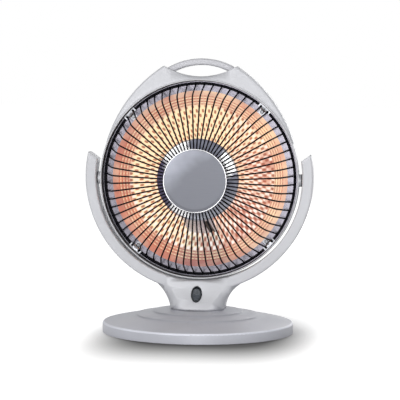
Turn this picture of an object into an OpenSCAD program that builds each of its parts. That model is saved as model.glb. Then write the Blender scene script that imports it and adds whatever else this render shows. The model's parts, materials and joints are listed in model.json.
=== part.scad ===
// Parabolic heater: a dished head with a wire guard, held by a U-shaped yoke on a round base.
// Millimetres, +Z up, the front faces -Y. The origin is the middle of the base, on the floor.

/* [Base] */
// Diameter of the base
base_d = 276; // [255:1:310]
// Height of the corner where the upright rim of the base would meet its dome
base_edge_z = 16.5; // [14:0.5:20]
// Radius of the dome of the base
dome_r = 600; // [520:5:680]
// Rounding of the base's top edge
base_fillet = 3.4; // [3:0.1:5]
// Height of the base's skirt above the floor
foot_h = 2; // [1.5:0.1:3]
// Diameter of each rubber foot
foot_d = 20; // [14:1:26]
// Number of rubber feet
foot_count = 5; // [3:1:8]
// Thickness of the plastic walls
wall = 2.6; // [2:0.1:2.8]
// Diameter of the lower raised step on the dome
step_low_d = 178; // [160:1:200]
// Diameter of the upper raised step on the dome
step_high_d = 130; // [122:1:145]
// Rise of each step
step_rise = 1.8; // [1:0.1:2.5]
// Diameter of the flat seat that the neck stands on
seat_d = 88; // [84:1:94]
// Thickness of the base plate
base_plate_t = 2; // [1.5:0.1:3]
// Outer diameter of the steel ballast ring
ballast_d = 236; // [200:1:240]
// Inner diameter of the steel ballast ring
ballast_hole_d = 150; // [146:1:170]
// Thickness of the steel ballast ring
ballast_t = 4.5; // [3:0.5:5]

/* [Yoke] */
// Height of the tilt axis above the floor
pivot_z = 222.5; // [218:0.5:236]
// Distance of the tilt axis behind the middle of the base
pivot_y = 4; // [2:0.5:6]
// Height of the middle of the arms' ring above the tilt axis
arm_rise = 3; // [2:0.5:4]
// Gap between the head's rim and the arms' ring
arm_gap = 4.8; // [4.5:0.1:7]
// Width of the arms as seen from the front
arm_w = 15.6; // [14:0.2:18]
// Depth of the arms from front to back
arm_depth = 28; // [26:1:32]
// Rounding of the arms' long edges
arm_fillet = 2.5; // [1.5:0.1:3]
// Angle of the arms' outer top corners above the middle of their ring
arm_tip_angle = 12.2; // [11.5:0.1:17]
// Drop of the slanted arm top towards the head
arm_tip_drop = 10; // [8:0.5:11]
// Thickness of the rear cover of the yoke
lid_t = 5; // [4.6:0.1:6]

/* [Neck] */
// Half the width of the neck where it meets the base
neck_half_w = 37.5; // [35:0.5:39]
// Radius of the flare between the neck and the arms
neck_flare_r = 54; // [48:1:58]
// Distance of the neck's front from the middle of the base
neck_front = 33; // [31:0.5:38]
// Distance of the neck's back from the middle of the base
neck_back = 33; // [31:0.5:38]
// Height at which the neck's front and back run into the arms
neck_blend_z = 87; // [83:1:92]
// Lean of the neck's front panel at its top, in degrees
panel_lean = 10; // [6:1:13]
// Lean of the neck's back at its top, in degrees
back_lean = 4; // [2:1:6]
// Half width of the front panel at the base
panel_half_low = 12; // [8:0.5:18]
// Half width of the front panel where it runs into the arms
panel_half_high = 46; // [42:0.5:48]
// Angle at which the neck's sides fall back from the front panel
side_angle = 34; // [28:1:44]
// Height of the middle of the rocker switch
switch_z = 57.5; // [56:0.5:60]
// Width of the switch's oval edge
switch_w = 16; // [14:0.5:18]
// Height of the switch's oval edge
switch_h = 25; // [23:0.5:27]
// Tilt of the rocker between its two positions, in degrees
rocker_throw = 14; // [10:1:16]

/* [Head] */
// Outer radius of the head's rim
rim_r = 144.5; // [143:0.5:146]
// Distance of the rim's front edge in front of the tilt axis
rim_front = 9; // [9:0.5:11]
// Distance of the parting line of the head's shells behind the tilt axis
part_y = 11; // [10.5:0.5:14]
// Radius of the hood's two side arcs
hood_r = 200; // [190:1:220]
// Drop of the side arcs' centres below the tilt axis
hood_drop = 5; // [3:0.5:8]
// Height above the tilt axis where the hood steps down to the rim
hood_corner_z = 52; // [45:1:58]
// Distance of the hood's front face behind the rim's front edge
hood_set_back = 3; // [2:0.5:4]
// Rounding of the hood's outer edge
hood_fillet = 4; // [3:0.5:5]
// Height of the bottom of the finger cut-out above the tilt axis
cut_z = 148; // [147.5:0.5:149]
// Radius of the finger cut-out
cut_r = 105; // [100:1:112]
// Radius of the rounded back of the head
bowl_r = 103; // [101:1:108]
// Step from the rim in to the rounded back
bowl_step = 0.8; // [0.5:0.1:1.2]
// Number of cooling slots in the back
vent_count = 28; // [18:1:32]
// Width of each cooling slot
vent_w = 3.6; // [3:0.2:5]

/* [Handle] */
// Inner radius of the handle's arch
handle_r = 88; // [86:0.5:90]
// Thickness of the handle as seen from the front
handle_t = 9.5; // [8:0.5:10.5]
// Rounding of the handle's long edges
handle_round = 2.8; // [2:0.1:3]
// Depth of the handle from front to back
handle_depth = 20; // [16:1:26]
// Height of the arch's centre above the tilt axis
handle_z = 76.5; // [75.5:0.5:78]
// Half the angle that the arch spans
handle_half_angle = 55; // [52:1:57]

/* [Guard] */
// Radius of the guard's outer ring
ring_r = 138; // [137:0.2:138.4]
// Thickness of the outer ring's rod
ring_rod_d = 4; // [3.6:0.1:4.4]
// Number of guard wires
wire_count = 68; // [52:4:72]
// Thickness of the guard wires
wire_d = 2.2; // [1.8:0.1:2.6]
// Distance of the ring behind the rim's front edge
ring_recess = 11.5; // [11:0.5:12.5]
// Distance of the disc's face in front of the ring
guard_depth = 58; // [50:1:65]
// Inset of the guard's front corner from its ring
guard_inset = 18; // [14:0.5:22]
// Radius of the bend between the guard's side and its front
guard_bend_r = 14; // [10:1:18]
// Rise of the guard's front from its corner to the disc
guard_crown = 5; // [3:0.5:9]
// Diameter of the centre disc with its bright edge
disc_d = 91; // [84:1:100]
// Length of each guard clip along the ring
clip_len = 20; // [18:0.5:24]

/* [Reflector and element] */
// Radius of the dish's mouth
dish_r = 127.5; // [118:0.5:128]
// Depth of the dish
dish_depth = 76; // [70:1:77]
// Thickness of the reflector's sheet
sheet_t = 0.8; // [0.6:0.1:1]
// Radius of the round cap in front of the element
cap_r = 59; // [54:1:62]
// Distance of the cap's face in front of the guard's ring
cap_front = 26.5; // [22:0.5:28]
// Width of the cap's arm
cap_arm_w = 44; // [40:1:50]
// Radius of the ceramic core at its base
core_r = 10.5; // [9.5:0.5:11]
// Radius of the ceramic core at its tip
core_tip_r = 8; // [6:0.5:9]
// Thickness of the heating winding
coil_d = 2.6; // [2:0.1:2.6]
// Number of loops in the heating winding
coil_turns = 18; // [12:1:18]
// Spacing of the loops
coil_pitch = 3.1; // [3.1:0.1:3.3]

/* [Fits] */
// Gap between moving pieces that lie against each other
fit_gap = 0.3; // [0.25:0.05:0.4]
// Radial running clearance of the axles
run_gap = 0.06; // [0.03:0.01:0.1]
// Diameter of the tilt axles
axle_d = 8; // [6:0.5:8.5]
// Diameter of the tilt bosses on the head
boss_d = 18; // [15:0.5:18]
// Diameter of the screws
screw_d = 3; // [2.6:0.1:3.4]

/* [Hidden] */
$fn = 96;
far = 400;
lap = 0.5;

shell_grey = [0.87, 0.87, 0.89];
base_grey = [0.80, 0.81, 0.84];
steel = [0.72, 0.73, 0.75];
black = [0.06, 0.06, 0.07];
ceramic = [0.93, 0.91, 0.86];

// Screws: a pan head on a plain shank, in a bore that is a little wider.
screw_r = screw_d / 2;
bore_r = screw_r + 0.05;
post_r = screw_r + 2.2;
pan_r = screw_d * 0.95;
head_h = screw_d * 0.55;

// Base: the dome is a spherical cap that would meet the upright rim at base_edge_z.
base_r = base_d / 2;
dome_z = base_edge_z - sqrt(dome_r ^ 2 - base_r ^ 2);
seat_z = dome_z + sqrt(dome_r ^ 2 - seat_d ^ 2 / 4) + 2 * step_rise;
plate_z = foot_h + 0.6;
plate_top = plate_z + base_plate_t;
foot_ring_r = base_r - wall - foot_d / 2 - 8;
base_post_ring_r = ballast_hole_d / 2 - 19;
base_post_turn = 45;
slot_count = 24;
slot_len = 14;
slot_w = 4;
tip_box = [26, 18, 15];
gland_z = foot_h + 5.5;
gland_r = 2.8;
gland_tube_r = gland_r + 1.2;
gland_flange_r = gland_tube_r + 0.8;
gland_sink = 1.2;

// Rim: a larger guard ring pushes it out, and the hood, the handle and the tilt axis move with it.
ring_clear = 1.9;
head_grow = max(0, ring_r + ring_rod_d / 2 + ring_clear + wall - rim_r);
head_r = rim_r + head_grow;
axis_z = pivot_z + head_grow;
notch_z = cut_z + head_grow;
arch_z = handle_z + head_grow;
ring_z = axis_z + arm_rise;

// Yoke: a ring around the tilt axis, open at the top, split into a deep front and a rear lid.
arm_in_r = head_r + arm_gap;
arm_out_r = arm_in_r + arm_w;
arm_mid_r = (arm_in_r + arm_out_r) / 2;
arm_front_y = pivot_y - arm_depth / 2;
arm_back_y = pivot_y + arm_depth / 2;
split_y = arm_back_y - lid_t;
arm_wall = wall - 0.4;
tip_out = arm_out_r * [cos(arm_tip_angle), sin(arm_tip_angle)];
tip_in_z = tip_out[1] - arm_tip_drop;
tip_in = [sqrt(arm_in_r ^ 2 - tip_in_z ^ 2), tip_in_z];
tip_slope = arm_tip_drop / (tip_out[0] - tip_in[0]);
yoke_screw_angles = [8, -26, -58];

// Neck: its flares are tangent to the arms and reach the neck's half width at the seat.
seat_drop = ring_z - seat_z;
seat_dist = norm([neck_half_w, seat_drop]);
flare_bite = 0.05;
flare_reach = arm_out_r + neck_flare_r - flare_bite;
flare_along = (neck_flare_r ^ 2 - flare_reach ^ 2 + seat_dist ^ 2) / (2 * seat_dist);
flare_off = sqrt(neck_flare_r ^ 2 - flare_along ^ 2);
flare_dir = [-neck_half_w, seat_drop] / seat_dist;
flare_c = [neck_half_w, seat_z] + flare_along * flare_dir + flare_off * [flare_dir[1], -flare_dir[0]];
flare_touch = [0, ring_z] + (flare_c - [0, ring_z]) * arm_out_r / flare_reach;
spigot_r = 20;
spigot_hole_r = 16;
clamp_r = 35;
clamp_t = 2;
neck_posts = [[-10, -10], [10, -10], [-8, 12], [8, 12]];
neck_post_h = 13;

// Centre of the circle that leaves [0, 0] with a lean and passes [run, -rise], with its radius.
function lean_circle(run, rise, lean) =
    let (r = (run ^ 2 + rise ^ 2) / (2 * (run * cos(lean) - rise * sin(lean))))
    [r * cos(lean), r * sin(lean), r];
blend_rise = neck_blend_z - seat_z;
panel_circle = lean_circle(neck_front + arm_front_y, blend_rise, panel_lean);
back_circle = lean_circle(neck_back - arm_back_y, blend_rise, back_lean);

// Switch: its frame lies on the front panel with Z along the panel's normal.
switch_lean = asin((neck_blend_z + panel_circle[1] - switch_z) / panel_circle[2]);
switch_y = arm_front_y - panel_circle[0] + panel_circle[2] * cos(switch_lean);
bezel_t = 2;
bezel_sink = 1.2;
cup_depth = 14;
cup_wall = 1;
rocker_axis_z = -4;
rocker_pin_r = 1.2;

// Head: lengths along Y are measured from the tilt axis.
rim_in_r = head_r - wall;
ring_y = ring_recess - rim_front;
flange_y = ring_y + ring_rod_d / 2 + 0.1;
flange_back = flange_y + sheet_t;
flange_r = rim_in_r - 0.5;
hood_y = hood_set_back - rim_front;
hood_side_x = hood_r - head_r;
back_y = part_y + bowl_r;
ledge_r = dish_r + sheet_t + 0.4;
ledge_t = 3;
vent_in_r = 62;
vent_len = 48;
vent_y = 36;
boss_end = sqrt(arm_in_r ^ 2 - (boss_d / 2 + arm_rise) ^ 2) - fit_gap - 0.8;
bush_end = arm_in_r + 6;

// Screw posts of the hood: one midway between rim and side arc, one midway between rim and handle.
function hood_out(a) =
    let (b = hood_side_x * sin(a) + hood_drop * cos(a), c = hood_side_x ^ 2 + hood_drop ^ 2 - hood_r ^ 2)
    sqrt(b ^ 2 - c) - b;
function handle_in(a) = arch_z * cos(a) + sqrt(handle_r ^ 2 - (arch_z * sin(a)) ^ 2);
post_angles = [36, 17];
crest_posts = [[(head_r + hood_out(post_angles[0])) / 2, post_angles[0]],
    [(head_r + handle_in(post_angles[1])) / 2, post_angles[1]]];
handle_screw_angles = [41, 52];

// Hood peaks: a small circle that touches the side arc and the cut-out from inside the hood.
peak_r = 2.5;
peak_side = [-hood_side_x, -hood_drop];
peak_cut = [0, notch_z + cut_r];
peak_gap = peak_cut - peak_side;
peak_dist = norm(peak_gap);
peak_along = ((hood_r - peak_r) ^ 2 - (cut_r + peak_r) ^ 2 + peak_dist ^ 2) / (2 * peak_dist);
peak_off = sqrt((hood_r - peak_r) ^ 2 - peak_along ^ 2);
peak_c = peak_side + (peak_along * peak_gap + peak_off * [peak_gap[1], -peak_gap[0]]) / peak_dist;

// Guard: a wire runs from the ring to a corner, bends, and runs over the front to the hub ring.
wire_pitch = 360 / wire_count;
guard_turn = wire_pitch / 2;
disc_y = ring_y - guard_depth;
disc_t = 1.2;
disc_back = disc_y + 0.4 + disc_t;
hub_r = disc_d / 2 - 5.5;
hub_rod_d = 3;
wire_end_y = disc_back + 0.2 + wire_d / 2;
hub_y = wire_end_y + (wire_d + hub_rod_d) / 2 - 0.3;
wire_start = [ring_r - 0.4, ring_y];
wire_corner = [ring_r - guard_inset, wire_end_y + guard_crown];
wire_end = [hub_r - hub_rod_d / 2, wire_end_y];
side_dir = (wire_corner - wire_start) / norm(wire_corner - wire_start);
front_dir = (wire_end - wire_corner) / norm(wire_end - wire_corner);
bend_turn = acos(side_dir * front_dir);
bend_run = guard_bend_r * tan(bend_turn / 2);
bend_start = wire_corner - side_dir * bend_run;
bend_end = wire_corner + front_dir * bend_run;
bend_c = bend_start + guard_bend_r * [side_dir[1], -side_dir[0]];
clip_count = 4;
clip_angle = 45 - guard_turn;
clip_in_r = ring_r - ring_rod_d / 2 - 0.6;
clip_screw_r = clip_in_r - pan_r - 0.3;
clip_t = 0.8;

// Reflector: a parabola, so the dish's slope grows evenly from its middle to its mouth.
dish_steps = 22;
function dish_y(r) = flange_y + dish_depth * (1 - (r / dish_r) ^ 2);
function dish_slope(r) = 2 * dish_depth * r / dish_r ^ 2;
function dish_back_y(r) = dish_y(r) + sheet_t * sqrt(1 + dish_slope(r) ^ 2);
dish_radii = [for (i = [0:dish_steps]) dish_r * i / dish_steps];

// Element: a round cap in front of the focus carries the socket, and an arm below it stands on the dish.
cap_y = ring_y - cap_front;
cap_t = 1.2;
cap_rim = 8;
cap_bend = 3.5;
arm_strip_t = cap_t - 0.2;
foot_r = 77;
foot_len = 14;
spacer_r = 4;
spacer_h = 3;
foot_screw_angles = [1, 15];
function strip_unit(v) = v / norm(v);
foot_in = [foot_r - foot_len / 2, dish_y(foot_r - foot_len / 2)];
foot_out = [foot_r + foot_len / 2, dish_y(foot_r + foot_len / 2)];
foot_dir = strip_unit(foot_out - foot_in);
foot_n = [foot_dir[1], -foot_dir[0]];
foot_lift = (spacer_h + arm_strip_t / 2) * foot_n;
arm_top = [cap_r - cap_t / 2, cap_y + cap_bend];
arm_foot = foot_out + foot_lift;
arm_run = norm(arm_foot - arm_top);
arm_dir = (arm_foot - arm_top) / arm_run;
cap_path = [[0, cap_y + cap_t / 2], [cap_r - cap_bend, cap_y + cap_t / 2],
    arm_top, [cap_r - cap_t / 2, cap_y + cap_rim]];
arm_path = [[cap_r - cap_bend - 8, cap_y + cap_t / 2], [cap_r - cap_bend, cap_y + cap_t / 2],
    arm_top, arm_foot, foot_in + foot_lift];

// Points beside a path of [radius, distance along Y], at a distance d, and the outline of a bent strip.
function beside(path, d) = [for (i = [0:len(path) - 1])
    let (a = strip_unit(path[max(i, 1)] - path[max(i, 1) - 1]),
         b = strip_unit(path[min(i + 1, len(path) - 1)] - path[min(i, len(path) - 2)]),
         m = strip_unit(a + b))
    path[i] + d / (m * a) * [m[1], -m[0]]];
function strip(path, t) = concat(beside(path, t / 2),
    [for (i = [len(path) - 1:-1:0]) beside(path, -t / 2)[i]]);

// Leads: two sleeves run down behind the arm, show through its slot and pass the dish.
sleeve_r = 3;
lead_angle = 10.5;
lead_side = sleeve_r + arm_strip_t / 2 + 0.3;
lead_slot = 2.8 * sleeve_r;
lead_start = 6;
lead_len = arm_run - lead_start;
lead_out = 9;

socket_r = 18;
socket_h = 9;
socket_screw_x = 13;
core_plug_r = 8;
core_plug_h = 6;
collar_y = cap_y + cap_t + socket_h;
collar_t = 3;
core_end_run = 5;
core_len = coil_turns * coil_pitch + 2 * core_end_run;
tip_y = collar_y + collar_t + core_len;
block = [24, 11, 13];
cutout_r = 7;
cutout_h = 4;

// Winding: a round tube of 6 sides that runs on the tapered core, its ends along the axis.
coil_rings = 24;
coil_sides = 6;
coil_clear = 0.35;
core_y = collar_y + collar_t;
function core_radius(y) = core_r + (core_tip_r - core_r) * (y - core_y) / core_len;
function coil_point(turn, y) =
    let (r = core_radius(y) + coil_d / 2 + coil_clear)
    [r * cos(360 * turn), r * sin(360 * turn), y];
coil_y0 = core_y + core_end_run;
coil_path = concat(
    [coil_point(-0.10, core_y), coil_point(-0.10, core_y + coil_d), coil_point(-0.07, coil_y0 - 1)],
    [for (i = [0:coil_turns * coil_rings]) coil_point(i / coil_rings, coil_y0 + coil_pitch * i / coil_rings)],
    [coil_point(coil_turns + 0.07, tip_y - core_end_run + 1),
     coil_point(coil_turns + 0.10, tip_y - coil_d), coil_point(coil_turns + 0.10, tip_y)]);
coil_gap = min([for (i = [3:len(coil_path) - 4])
    min([for (j = [i + coil_rings / 2:i + coil_rings * 3 / 2]) if (j < len(coil_path) - 3)
        norm(coil_path[i] - coil_path[j]), far])]) - coil_d;
echo(winding_gap = coil_gap);

// Shared shapes

// Turns a solid made along Z so that its Z runs along +Y, behind the tilt axis.
module along_y() rotate([-90, 0, 0]) children();

// Puts children at the middle of the tilt axis.
module on_tilt_axis() translate([0, pivot_y, axis_z]) children();

// A plate in the X-Z plane with its front face at y0 and a thickness t.
module upright(y0, t) translate([0, y0 + t, 0]) rotate([90, 0, 0]) linear_extrude(t) children();

// A profile drawn as [radius, distance along Y] and turned around the head's middle.
module turned() along_y() rotate_extrude() children();

// Puts children at a clock angle around the head's middle, at a radius.
module at_clock(angle, r) rotate([0, angle, 0]) translate([0, 0, r]) children();

// Puts children in the switch's frame.
module on_switch() translate([0, switch_y, switch_z]) rotate([90 - switch_lean, 0, 0]) children();

module mirrored() {
    children();
    mirror([1, 0, 0]) children();
}

// Corner points of a rectangle with rounded corners, from [x, y] over w and h.
function round_rect(x, y, w, h, r, n = 5) = [for (c = [[x + w - r, y + h - r, 0], [x + r, y + h - r, 90],
    [x + r, y + r, 180], [x + w - r, y + r, 270]]) for (i = [0:n])
        [c[0] + r * cos(c[2] + 90 * i / n), c[1] + r * sin(c[2] + 90 * i / n)]];

module oval(w, h) scale([1, h / w]) circle(d = w, $fn = 64);

// A screw whose head's underside is at the origin and whose shank runs down Z.
module screw(len) {
    cylinder(h = head_h, r1 = pan_r, r2 = pan_r * 0.7, $fn = 24);
    translate([0, 0, -len]) cylinder(h = len + lap, r = screw_r, $fn = 24);
}

// Base

// Half section under the dome, with its wall moved in by i.
module base_region(i) {
    edge_z = dome_z + sqrt((dome_r - base_fillet) ^ 2 - (base_r - base_fillet) ^ 2);
    touch_r = (base_r - base_fillet) * (dome_r - i) / (dome_r - base_fillet);
    levels = [[touch_r, 0], [step_low_d / 2 - i, step_rise], [step_high_d / 2 - i, 2 * step_rise]];
    difference() {
        for (level = levels) intersection() {
            translate([0, foot_h]) square([level[0], 60]);
            translate([0, dome_z + level[1]]) circle(dome_r - i, $fn = 720);
        }
        translate([-1, seat_z - i]) square([seat_d / 2 - i + 1, 60]);
    }
    translate([0, foot_h]) square([base_r - i, edge_z - foot_h]);
    translate([base_r - base_fillet, edge_z]) circle(base_fillet - i, $fn = 48);
}

module base_cover() color(base_grey) {
    post_top = dome_z + sqrt((dome_r - wall) ^ 2 - base_post_ring_r ^ 2) + 2 * step_rise + wall / 3;
    difference() {
        union() {
            rotate_extrude($fn = 180) difference() {
                base_region(0);
                base_region(wall);
                translate([-1, foot_h - 1]) square([base_r - wall + 1, 2]);
            }
            for (a = [0:90:270]) rotate([0, 0, a + base_post_turn])
                translate([base_post_ring_r, 0, plate_top])
                cylinder(h = post_top - plate_top, r = post_r, $fn = 32);
        }
        translate([0, 0, seat_z - 2 * wall]) cylinder(h = 4 * wall, r = spigot_r + fit_gap);
        for (a = [0:90:270]) rotate([0, 0, a + base_post_turn])
            translate([base_post_ring_r, 0, plate_top - 1])
            cylinder(h = 13, r = bore_r, $fn = 24);
        translate([0, base_r, gland_z]) along_y() {
            translate([0, 0, -2 * wall]) cylinder(h = 3 * wall, r = gland_tube_r + 0.1, $fn = 32);
            translate([0, 0, -gland_sink]) cylinder(h = 2 * gland_sink, r = gland_flange_r + 0.1, $fn = 32);
        }
    }
}

module base_plate() color(black) difference() {
    translate([0, 0, plate_z]) cylinder(h = base_plate_t, r = base_r - wall - fit_gap);
    translate([-gland_flange_r - 2, base_r - wall - 5, plate_z - 1])
        cube([2 * gland_flange_r + 4, 10, base_plate_t + 2]);
    for (a = [0:90:270]) rotate([0, 0, a + base_post_turn]) translate([base_post_ring_r, 0, plate_z - 1])
        cylinder(h = base_plate_t + 2, r = bore_r, $fn = 24);
    for (i = [0:slot_count - 1]) rotate([0, 0, 360 * i / slot_count])
        translate([clamp_r - slot_len, -slot_w / 2, plate_z - 1])
        cube([slot_len, slot_w, base_plate_t + 2]);
}

module base_screws() color(steel) for (a = [0:90:270]) rotate([0, 0, a + base_post_turn])
    translate([base_post_ring_r, 0, plate_z]) rotate([180, 0, 0]) screw(base_plate_t + 9);

module rubber_feet() color(black) for (i = [0:foot_count - 1]) rotate([0, 0, 90 + 360 * i / foot_count])
    translate([foot_ring_r, 0, 0]) {
        cylinder(h = 0.8, r1 = foot_d / 2 - 0.8, r2 = foot_d / 2, $fn = 48);
        translate([0, 0, 0.8]) cylinder(h = plate_z - 0.8, r = foot_d / 2, $fn = 48);
    }

module ballast_ring() color([0.35, 0.36, 0.38]) translate([0, 0, plate_top]) difference() {
    cylinder(h = ballast_t, d = ballast_d);
    translate([0, 0, -1]) cylinder(h = ballast_t + 2, d = ballast_hole_d);
}

module neck_clamp_plate() color(steel) difference() {
    translate([0, 0, seat_z - wall - clamp_t]) cylinder(h = clamp_t, r = clamp_r);
    translate([0, 0, seat_z - wall - clamp_t - 1]) cylinder(h = clamp_t + 2, r = 7);
    for (p = neck_posts) translate([p[0], p[1], seat_z - wall - clamp_t - 1])
        cylinder(h = clamp_t + 2, r = bore_r, $fn = 24);
}

module neck_screws() color(steel) for (p = neck_posts) translate([p[0], p[1], seat_z - wall - clamp_t])
    rotate([180, 0, 0]) screw(clamp_t + 9);

module cord_gland() color(black) translate([0, base_r, gland_z]) along_y() difference() {
    union() {
        translate([0, 0, -wall - 1.4]) cylinder(h = 1.2, r = gland_flange_r, $fn = 32);
        translate([0, 0, -wall - 0.4]) cylinder(h = wall + 0.2, r = gland_tube_r, $fn = 32);
        translate([0, 0, -gland_sink]) cylinder(h = gland_sink - 0.2, r = gland_flange_r, $fn = 32);
    }
    translate([0, 0, -wall - 2]) cylinder(h = wall + 5, r = gland_r, $fn = 32);
}

// A sealed switch that cuts the current when the heater is knocked over.
module tilt_switch() color([0.15, 0.2, 0.3]) translate([0, -clamp_r + 5, plate_top]) {
    translate([-tip_box[0] / 2, -tip_box[1] / 2, 0]) cube(tip_box);
    mirrored() translate([tip_box[0] / 2 - lap, -tip_box[1] / 4, 0]) cube([6 + lap, tip_box[1] / 2, 2]);
    mirrored() translate([3, -0.4, tip_box[2] - lap]) cube([3, 0.8, 6]);
}

// Yoke

// What stays of the ring below the slanted arm tops, lowered by i, seen from the front.
module below_tips(i) {
    drop = i * sqrt(1 + tip_slope ^ 2);
    far_z = tip_in[1] + tip_slope * (far - tip_in[0]) - drop;
    polygon([[-far, -far], [far, -far], [far, far_z], [tip_in[0], tip_in[1] - drop],
        [-tip_in[0], tip_in[1] - drop], [-far, far_z]]);
}

// The arms as a full solid, or what fills them when i is their wall.
module arms(i) translate([0, pivot_y, ring_z]) intersection() {
    turned() polygon(round_rect(arm_in_r + i, i - arm_depth / 2, arm_w - 2 * i, arm_depth - 2 * i,
        max(arm_fillet - i, 0.3)));
    upright(-arm_depth, 2 * arm_depth) below_tips(i);
}

// The neck seen from the front, with its wall moved in by i.
module neck_front_view(i) difference() {
    translate([-flare_touch[0], seat_z + i]) square([2 * flare_touch[0], neck_blend_z + 2 - seat_z - i]);
    for (side = [-1, 1]) translate([side * flare_c[0], flare_c[1]]) circle(neck_flare_r + i);
    translate([0, ring_z]) circle(arm_in_r + i, $fn = 180);
    difference() {
        translate([-far, flare_touch[1]]) square([2 * far, far]);
        translate([0, ring_z]) circle(arm_out_r - i, $fn = 180);
    }
}

// The neck seen from the side, as [Y, Z].
module neck_side_view(i) difference() {
    translate([i - neck_front, seat_z + i])
        square([neck_front + neck_back - 2 * i, neck_blend_z + 2 - seat_z - i]);
    translate([arm_front_y - panel_circle[0], neck_blend_z + panel_circle[1]])
        circle(panel_circle[2] + i, $fn = 180);
    translate([arm_back_y + back_circle[0], neck_blend_z + back_circle[1]])
        circle(back_circle[2] + i, $fn = 180);
}

// What the neck's slanted side takes off the right of the front panel.
module side_cut(i) {
    rise = [panel_half_high - panel_half_low, neck_front + arm_front_y, neck_blend_z - seat_z];
    n = [rise[2] * sin(side_angle), -rise[2] * cos(side_angle),
        rise[1] * cos(side_angle) - rise[0] * sin(side_angle)];
    translate([panel_half_low, -neck_front, seat_z] - i * n / norm(n))
        rotate([0, acos(n[2] / norm(n)), atan2(n[1], n[0])])
            translate([-far / 2, -far / 2, 0]) cube([far, far, far / 2]);
}

module neck(i) difference() {
    intersection() {
        upright(-2 * neck_front, 4 * neck_front) neck_front_view(i);
        rotate([90, 0, 90]) linear_extrude(far, center = true) neck_side_view(i);
    }
    mirrored() side_cut(i);
}

module yoke_solid() {
    arms(0);
    neck(0);
    translate([0, 0, seat_z - wall]) difference() {
        cylinder(h = 2 * wall, r = spigot_r);
        translate([0, 0, -1]) cylinder(h = 2 * wall + 2, r = spigot_hole_r);
    }
    for (p = neck_posts) translate([p[0], p[1], seat_z - wall]) cylinder(h = 2 * wall, r = post_r, $fn = 32);
}

// Posts along Y in the arms.
module at_yoke_screws() translate([0, pivot_y, ring_z]) mirrored() for (a = yoke_screw_angles)
    rotate([0, -a, 0]) translate([arm_mid_r, 0, 0]) along_y() children();

module neck_bores() for (p = neck_posts) translate([p[0], p[1], seat_z - wall - 1])
    cylinder(h = neck_post_h + wall, r = bore_r, $fn = 24);

module neck_post_columns() for (p = neck_posts) translate([p[0], p[1], seat_z])
    cylinder(h = neck_post_h, r = post_r, $fn = 32);

module yoke_front() color(shell_grey) difference() {
    union() {
        difference() {
            yoke_solid();
            arms(arm_wall);
            neck(wall);
            translate([0, 0, seat_z - 1]) cylinder(h = 2 * wall, r = 8);
        }
        intersection() {
            neck_post_columns();
            translate([-far, -far, 0]) cube([2 * far, far + split_y, far]);
        }
        at_yoke_screws() translate([0, 0, lap - arm_depth / 2])
            cylinder(h = arm_depth / 2 - lap, r = post_r, $fn = 32);
        on_tilt_axis() mirrored() translate([arm_in_r + lap, 0, 0]) rotate([0, 90, 0])
            cylinder(h = 6 - lap, r = axle_d / 2 + 3, $fn = 48);
    }
    translate([-far, split_y, -1]) cube([2 * far, far, far]);
    at_yoke_screws() translate([0, 0, -4]) cylinder(h = arm_depth, r = bore_r, $fn = 24);
    on_tilt_axis() mirrored() translate([arm_in_r - 2, 0, 0]) rotate([0, 90, 0])
        cylinder(h = 10, r = axle_d / 2 + run_gap, $fn = 48);
    neck_bores();
    on_switch() {
        translate([0, 0, -bezel_sink]) linear_extrude(10) oval(switch_w + 0.3, switch_h + 0.3);
        translate([0, 0, -10]) linear_extrude(10) oval(switch_w - 1.6, switch_h - 1.6);
    }
}

module yoke_rear() color(shell_grey) difference() {
    union() {
        difference() {
            yoke_solid();
            arms(arm_wall);
            neck(wall);
        }
        difference() {
            neck_post_columns();
            translate([-far, -far, 0]) cube([2 * far, far + split_y, far]);
        }
        at_yoke_screws() cylinder(h = arm_depth / 2 - lap, r = post_r, $fn = 32);
    }
    translate([-far, split_y - far, -1]) cube([2 * far, far, far]);
    at_yoke_screws() translate([0, 0, -4]) cylinder(h = arm_depth, r = bore_r, $fn = 24);
    at_yoke_screws() translate([0, 0, arm_depth / 2 - head_h])
        cylinder(h = head_h + 1, r = pan_r + 0.3, $fn = 32);
    neck_bores();
}

module yoke_screws() color(steel) at_yoke_screws() translate([0, 0, arm_depth / 2 - head_h]) screw(lid_t + 9);

// Switch

module switch_bezel() color(black) on_switch() translate([0, 0, -bezel_sink]) difference() {
    union() {
        linear_extrude(bezel_t - 0.6) oval(switch_w, switch_h);
        linear_extrude(bezel_t) oval(switch_w - 1, switch_h - 1);
    }
    translate([0, 0, -1]) linear_extrude(bezel_t + 2) oval(switch_w - 4, switch_h - 4);
}

module switch_body() color([0.1, 0.1, 0.11]) on_switch() difference() {
    union() {
        translate([0, 0, -bezel_sink - cup_depth]) linear_extrude(cup_depth) oval(switch_w - 2, switch_h - 2);
        for (y = [-5, 5]) translate([-3, y - 0.4, -bezel_sink - cup_depth - 7]) cube([6, 0.8, 8]);
    }
    translate([0, 0, cup_wall - bezel_sink - cup_depth]) linear_extrude(cup_depth)
        oval(switch_w - 4, switch_h - 4);
    translate([-far / 2, 0, rocker_axis_z]) rotate([0, 90, 0])
        cylinder(h = far, r = rocker_pin_r + 0.05, $fn = 24);
}

// The rocker is a seesaw with a shallow V on top, and rests on its lower half.
module switch_rocker() color([0.12, 0.13, 0.15]) on_switch() translate([0, 0, rocker_axis_z])
    rotate([rocker_throw / 2, 0, 0]) {
        difference() {
            translate([0, 0, -4]) linear_extrude(9.6) oval(switch_w - 4.8, switch_h - 7.2);
            translate([0, 0, 4.2]) mirrored_y() rotate([rocker_throw / 2, 0, 0]) translate([-switch_w, 0, 0])
                cube([2 * switch_w, switch_h, 9]);
        }
        translate([-switch_w / 2 + 1.3, 0, 0]) rotate([0, 90, 0])
            cylinder(h = switch_w - 2.6, r = rocker_pin_r, $fn = 24);
    }

module mirrored_y() {
    children();
    mirror([0, 1, 0]) children();
}

// Head shells

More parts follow.
